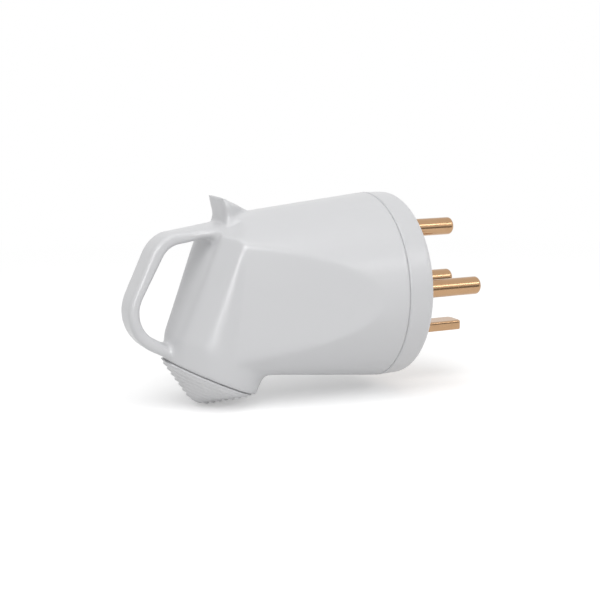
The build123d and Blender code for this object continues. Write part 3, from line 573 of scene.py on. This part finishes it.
class PlugStageSettings(bpy.types.PropertyGroup):
    """Floor, lights and camera."""

    camera_place: bpy.props.FloatVectorProperty(
        name="Camera",
        description="Where the camera stands",
        default=(-0.2070, -0.3711, 0.0729),
        subtype="XYZ",
    )
    camera_azimuth: angle_field("Azimuth", "Turn of the camera about the upright", -0.43633)
    camera_elevation: angle_field("Elevation", "How far the camera looks down", 0.185)
    camera_lens: bpy.props.FloatProperty(
        name="Lens", description="Focal length in millimetres", default=74.9, min=10.0
    )
    floor_half_width: length_field("Floor", "Half the floor's width", 6.0)
    floor_colour: colour_field("Floor colour", "Colour of the floor", 0.86, 0.86, 0.86)
    world_strength: bpy.props.FloatProperty(
        name="World", description="Strength of the even light from all round", default=0.5, min=0.0
    )
    key_power: power_field("Key light", "Power of the large lamp above", 3.9)
    strip_power: power_field("Strip light", "Power of the long lamp to the right", 0.95)
    edge_power: power_field("Edge light", "Power of the lamp that shows in rounded edges", 0.95)


class PLUG_OT_housing(bpy.types.Operator):
    """Give the rear housing the soft corners and blends of a moulding, and finish it"""

    bl_idname = "plug.housing"
    bl_label = "Rear housing"

    def execute(self, context):
        finish = context.scene.plug_finish
        skin = softened(
            "rear_housing",
            "housing_skin",
            finish.housing_step,
            self.softness,
            finish.housing_rounds,
            self.reshaped,
        )
        skin.data.materials.append(
            moulded_plastic(
                "housing_plastic",
                finish.housing_colour,
                finish.plastic_roughness,
                finish.plastic_edge,
            )
        )
        return {"FINISHED"}

    def reshaped(self, points):
        """Points with the cone's end and the fin brought to the form of the moulding."""
        return self.fuller_fin(self.lowered_beside_fin(points))

    @staticmethod
    def lowered_beside_fin(points):
        """Brings the cone's end down on both sides of the fin, where it runs into the loop."""
        x, y, z = points.T
        radius = np.hypot(y, z)
        beside = np.abs(y)
        drop = CONE_END_DROP * rise(x, CONE_END_SPAN_X) * rise(beside, CONE_END_SPAN_Y)
        highest = CONE_RADIUS + (x - CONE_FRONT) * CONE_SLOPE - drop
        on_cone_end = (z > CONE_END_LOWEST) & (x < CONE_END) & (beside > BESIDE_FIN)
        shrink = np.where(on_cone_end & (radius > highest), highest / radius, 1.0)
        return np.stack([x, y * shrink, z * shrink], axis=1)

    @staticmethod
    def fuller_fin(points):
        """Widens the fin towards its top and takes the point off its top corner."""
        x, y, z = points.T
        foot, top = FIN_SPAN_Z
        part = np.clip((z - foot) / (top - foot), 0.0, 1.0) * rise(x, FIN_SPAN_X)
        wider = y * (1.0 + FIN_WIDENING * part * rise(np.abs(y), FIN_SPAN_Y))
        corner = FIN_CORNER_HEIGHT + FIN_CORNER_SHARE * (z - FIN_CORNER_HEIGHT)
        lower = np.where(part > 0.0, np.minimum(z, corner), z)
        return np.stack([x, wider, lower], axis=1)

    @staticmethod
    def softness(points):
        """How far each point gives way: little at rims, much at the fin and the loop's roots."""
        x, y, z = points.T
        from_outlet = [x - OUTLET_POINT[0], z - OUTLET_POINT[1]]
        over_outlet = from_outlet[0] * OUTLET_DIRECTION[0] + from_outlet[1] * OUTLET_DIRECTION[1]
        mirrored = np.stack([x, np.abs(y), z], axis=1)
        above_foot = np.where(z > FIN_FOOT_TOP, FIN_FOOT_STRETCH_ABOVE, 1.0)
        foot_stretch = [np.ones_like(x), np.full_like(x, FIN_FOOT_STRETCH_Y), above_foot]
        places = {
            "fin_foot": near(points, FIN_FOOT, FIN_FOOT_REACH, np.stack(foot_stretch, axis=1)),
            "fin_edge": rise(z, FIN_EDGE_SPAN_Z) * rise(np.abs(x - FIN_BACK), FIN_EDGE_SPAN),
            "upper_roots": near(mirrored, UPPER_ROOT, UPPER_ROOT_REACH),
            "lower_root": near(points, LOWER_ROOT, LOWER_ROOT_REACH),
            "throat": rise(x, THROAT_BACK_SPAN_X)
            * rise(x, THROAT_FRONT_SPAN_X)
            * rise(z, THROAT_SPAN_Z),
            "ridge": rise(x, RIDGE_FRONT_SPAN_X)
            * rise(x, RIDGE_BACK_SPAN_X)
            * rise(z, RIDGE_SPAN_Z),
        }
        soft = SOFT_ELSEWHERE - FIRMER_LOOP * rise(x, LOOP_SPAN_X)
        for name, amount in places.items():
            soft = np.maximum(soft, SOFT_PLACES[name] * amount)
        rims = rise(over_outlet, OUTLET_RIM_SPAN) * rise(x, SEAM_RIM_SPAN_X)
        lip = rise(x, OUTLET_LIP_SPAN_X) * rise(over_outlet, OUTLET_LIP_SPAN)
        return LEAST_GIVE + MOST_GIVE * soft * rims + OUTLET_LIP_GIVE * lip


class PLUG_OT_carrier(bpy.types.Operator):
    """Finish the pin carrier"""

    bl_idname = "plug.carrier"
    bl_label = "Pin carrier"

    def execute(self, context):
        finish = context.scene.plug_finish
        plastic = moulded_plastic(
            "carrier_plastic",
            finish.carrier_colour,
            finish.plastic_roughness,
            finish.plastic_edge / 2,
        )
        dress(["pin_carrier"], plastic)
        return {"FINISHED"}


class PLUG_OT_grommet(bpy.types.Operator):
    """Give the stepped cable grommet its rounded steps, and finish it"""

    bl_idname = "plug.grommet"
    bl_label = "Cable grommet"

    def execute(self, context):
        finish = context.scene.plug_finish
        skin = softened(
            "cable_grommet",
            "grommet_skin",
            finish.grommet_step,
            SMALL_PIECE_GIVE,
            finish.grommet_rounds,
        )
        skin.data.materials.append(
            soft_rubber(
                "grommet_rubber",
                finish.grommet_colour,
                finish.grommet_roughness,
                finish.grommet_edge,
            )
        )
        return {"FINISHED"}


class PLUG_OT_pins(bpy.types.Operator):
    """Finish the round pins, the earth blade and the brass pieces behind them"""

    bl_idname = "plug.pins"
    bl_label = "Pins and earth blade"

    def execute(self, context):
        finish = context.scene.plug_finish
        brass = turned_brass(
            "pin_brass", finish.brass_colour, finish.brass_roughness, finish.metal_edge
        )
        dress(["phase_pin_1", "phase_pin_2", "phase_pin_3", "neutral_pin"], brass)
        blade = softened(
            "earth_blade", "blade_skin", finish.blade_step, SMALL_PIECE_GIVE, finish.blade_rounds
        )
        blade.data.materials.append(brass)
        duller_brass = turned_brass(
            "terminal_brass",
            tone(finish.brass_colour, INNER_BRASS_TONE),
            finish.brass_roughness + INNER_BRASS_ROUGHER,
            finish.metal_edge,
        )
        dress(["earth_terminal", "earth_rivets", "threaded_inserts"], duller_brass)
        return {"FINISHED"}


class PLUG_OT_screws(bpy.types.Operator):
    """Finish the screws and the plates under them"""

    bl_idname = "plug.screws"
    bl_label = "Screws"

    def execute(self, context):
        finish = context.scene.plug_finish
        steel = plated_steel(
            "screw_steel", finish.steel_colour, finish.steel_roughness, finish.metal_edge / 2
        )
        screws = [
            "terminal_screws",
            "wire_pressure_plates",
            "retaining_plate_screws",
            "carrier_fixing_screws",
            "clamp_screws",
        ]
        dress(screws, steel)
        return {"FINISHED"}


class PLUG_OT_inner_mouldings(bpy.types.Operator):
    """Finish the retaining plate, the cable clamp and the sealing ring"""

    bl_idname = "plug.inner_mouldings"
    bl_label = "Inner mouldings"

    def execute(self, context):
        finish = context.scene.plug_finish
        plastic = moulded_plastic(
            "inner_plastic", finish.inner_colour, finish.inner_roughness, finish.metal_edge
        )
        rubber = soft_rubber(
            "ring_rubber", finish.ring_colour, finish.inner_roughness, finish.metal_edge
        )
        dress(["pin_retaining_plate", "cable_clamp_base", "cable_clamp_saddle"], plastic)
        dress(["sealing_ring"], rubber)
        return {"FINISHED"}


def add_light(name, place, target, size, power, sheen_only=False):
    """Rectangular lamp that faces a target; one for sheen only lights no matt surface."""
    lamp = bpy.data.lights.new(name, "AREA")
    lamp.shape = "RECTANGLE"
    lamp.size, lamp.size_y = size
    lamp.energy = power
    lamp_object = bpy.data.objects.new(name, lamp)
    lamp_object.location = place
    lamp_object.rotation_mode = "QUATERNION"
    lamp_object.rotation_quaternion = (Vector(target) - Vector(place)).to_track_quat("-Z", "Y")
    lamp_object.visible_camera = False
    lamp_object.visible_diffuse = not sheen_only
    bpy.context.scene.collection.objects.link(lamp_object)


def add_card(name, corners, material):
    """Flat four-cornered piece of the stage."""
    mesh = bpy.data.meshes.new(name)
    mesh.from_pydata(corners, [], [(0, 1, 2, 3)])
    mesh.materials.append(material)
    card = bpy.data.objects.new(name, mesh)
    bpy.context.scene.collection.objects.link(card)
    return card


class PLUG_OT_stage(bpy.types.Operator):
    """Make the floor, the world, the lights and the camera"""

    bl_idname = "plug.stage"
    bl_label = "Stage"

    def execute(self, context):
        stage = context.scene.plug_stage
        self.make_floor(stage)
        self.make_world(context.scene, stage)
        self.make_lights(stage)
        self.make_camera(context.scene, stage)
        context.scene.view_settings.view_transform = "Standard"
        return {"FINISHED"}

    def make_floor(self, stage):
        """Matt floor that keeps the shadow and fades to white away from the plug."""
        material, sheet = new_material("floor_white")
        paper = sheet.add("ShaderNodeBsdfDiffuse", None, {"Color": tuple(stage.floor_colour)})
        glow = sheet.glow(WHITE, FLOOR_GLOW)
        lit = sheet.add("ShaderNodeAddShader", None, {0: paper, 1: glow})
        point = sheet.add("ShaderNodeNewGeometry", output="Position")
        distance = sheet.add("ShaderNodeVectorMath", {"operation": "LENGTH"}, {0: point}, "Value")
        faded = sheet.blend(sheet.ramp(distance, *FLOOR_FADE), lit, sheet.glow(WHITE, 1.0))
        sheet.show(sheet.blend(sheet.seen_by_eye(), paper, faded))
        half = stage.floor_half_width
        height = cad_low.z - FLOOR_GAP
        corners = [(-half, -half), (half, -half), (half, half), (-half, half)]
        add_card("floor", [(x, y, height) for x, y in corners], material)

    def make_world(self, scene, stage):
        """Even light on matt surfaces, and plain white to the eye and in gloss."""
        scene.world = bpy.data.worlds.new("studio")
        sheet = NodeSheet(scene.world)
        even = sheet.background(stage.world_strength)
        mixed = sheet.blend(sheet.seen_by_eye(), even, sheet.background(1.0))
        sheet.add("ShaderNodeOutputWorld", None, {"Surface": mixed})

    def make_lights(self, stage):
        """Two lamps above, a card below them and a lamp by the camera for the rounded edges."""
        centre = (cad_low + cad_high) / 2
        add_light("key_light", KEY_LIGHT_PLACE, centre, KEY_LIGHT_SIZE, stage.key_power)
        add_light("strip_light", STRIP_LIGHT_PLACE, centre, STRIP_LIGHT_SIZE, stage.strip_power)
        self.make_low_card()
        by_camera = Vector(stage.camera_place) + Vector((0.0, 0.0, EDGE_LIGHT_ABOVE_CAMERA))
        add_light(
            "edge_light", by_camera, centre, EDGE_LIGHT_SIZE, stage.edge_power, sheen_only=True
        )

    def make_low_card(self):
        """Upright grey card beside the stage that only shows in glossy surfaces."""
        material, sheet = new_material("low_flag")
        sheet.show(sheet.glow((CARD_GREY, CARD_GREY, CARD_GREY, 1.0), 1.0))
        corners = [
            (*CARD_START, cad_low.z),
            (*CARD_END, cad_low.z),
            (*CARD_END, CARD_TOP),
            (*CARD_START, CARD_TOP),
        ]
        card = add_card("low_flag", corners, material)
        for rays in ("camera", "diffuse", "transmission", "shadow"):
            setattr(card, f"visible_{rays}", False)

    def make_camera(self, scene, stage):
        """Camera at the viewing angle of the product picture."""
        camera = bpy.data.cameras.new("camera")
        camera.lens = stage.camera_lens
        camera.sensor_width = SENSOR_WIDTH_MM
        camera.clip_start = NEAREST_SEEN
        camera_object = bpy.data.objects.new("camera", camera)
        camera_object.location = stage.camera_place
        tilt = math.pi / 2 - stage.camera_elevation
        camera_object.rotation_euler = (tilt, 0.0, stage.camera_azimuth)
        scene.collection.objects.link(camera_object)
        scene.camera = camera_object


class PLUG_PT_panel(bpy.types.Panel):
    """Sidebar panel with the plug's finishes and its stage"""

    bl_idname = "PLUG_PT_panel"
    bl_label = "Industrial plug"
    bl_space_type = "VIEW_3D"
    bl_region_type = "UI"
    bl_category = "Plug"

    def draw(self, context):
        for group in (context.scene.plug_finish, context.scene.plug_stage):
            box = self.layout.box()
            for name in group.__annotations__:
                box.prop(group, name)
        for operator in OPERATORS:
            self.layout.operator(operator.bl_idname)


SETTINGS = (PlugFinishSettings, PlugStageSettings)
OPERATORS = (
    PLUG_OT_housing,
    PLUG_OT_carrier,
    PLUG_OT_grommet,
    PLUG_OT_pins,
    PLUG_OT_screws,
    PLUG_OT_inner_mouldings,
    PLUG_OT_stage,
)
CLASSES = (*SETTINGS, *OPERATORS, PLUG_PT_panel)


def register():
    for item in CLASSES:
        bpy.utils.register_class(item)
    bpy.types.Scene.plug_finish = bpy.props.PointerProperty(type=PlugFinishSettings)
    bpy.types.Scene.plug_stage = bpy.props.PointerProperty(type=PlugStageSettings)


def unregister():
    del bpy.types.Scene.plug_stage
    del bpy.types.Scene.plug_finish
    for item in reversed(CLASSES):
        bpy.utils.unregister_class(item)


def main():
    register()
    bpy.ops.plug.housing()
    bpy.ops.plug.carrier()
    bpy.ops.plug.grommet()
    bpy.ops.plug.pins()
    bpy.ops.plug.screws()
    bpy.ops.plug.inner_mouldings()
    bpy.ops.plug.stage()


if __name__ == "__main__":
    main()
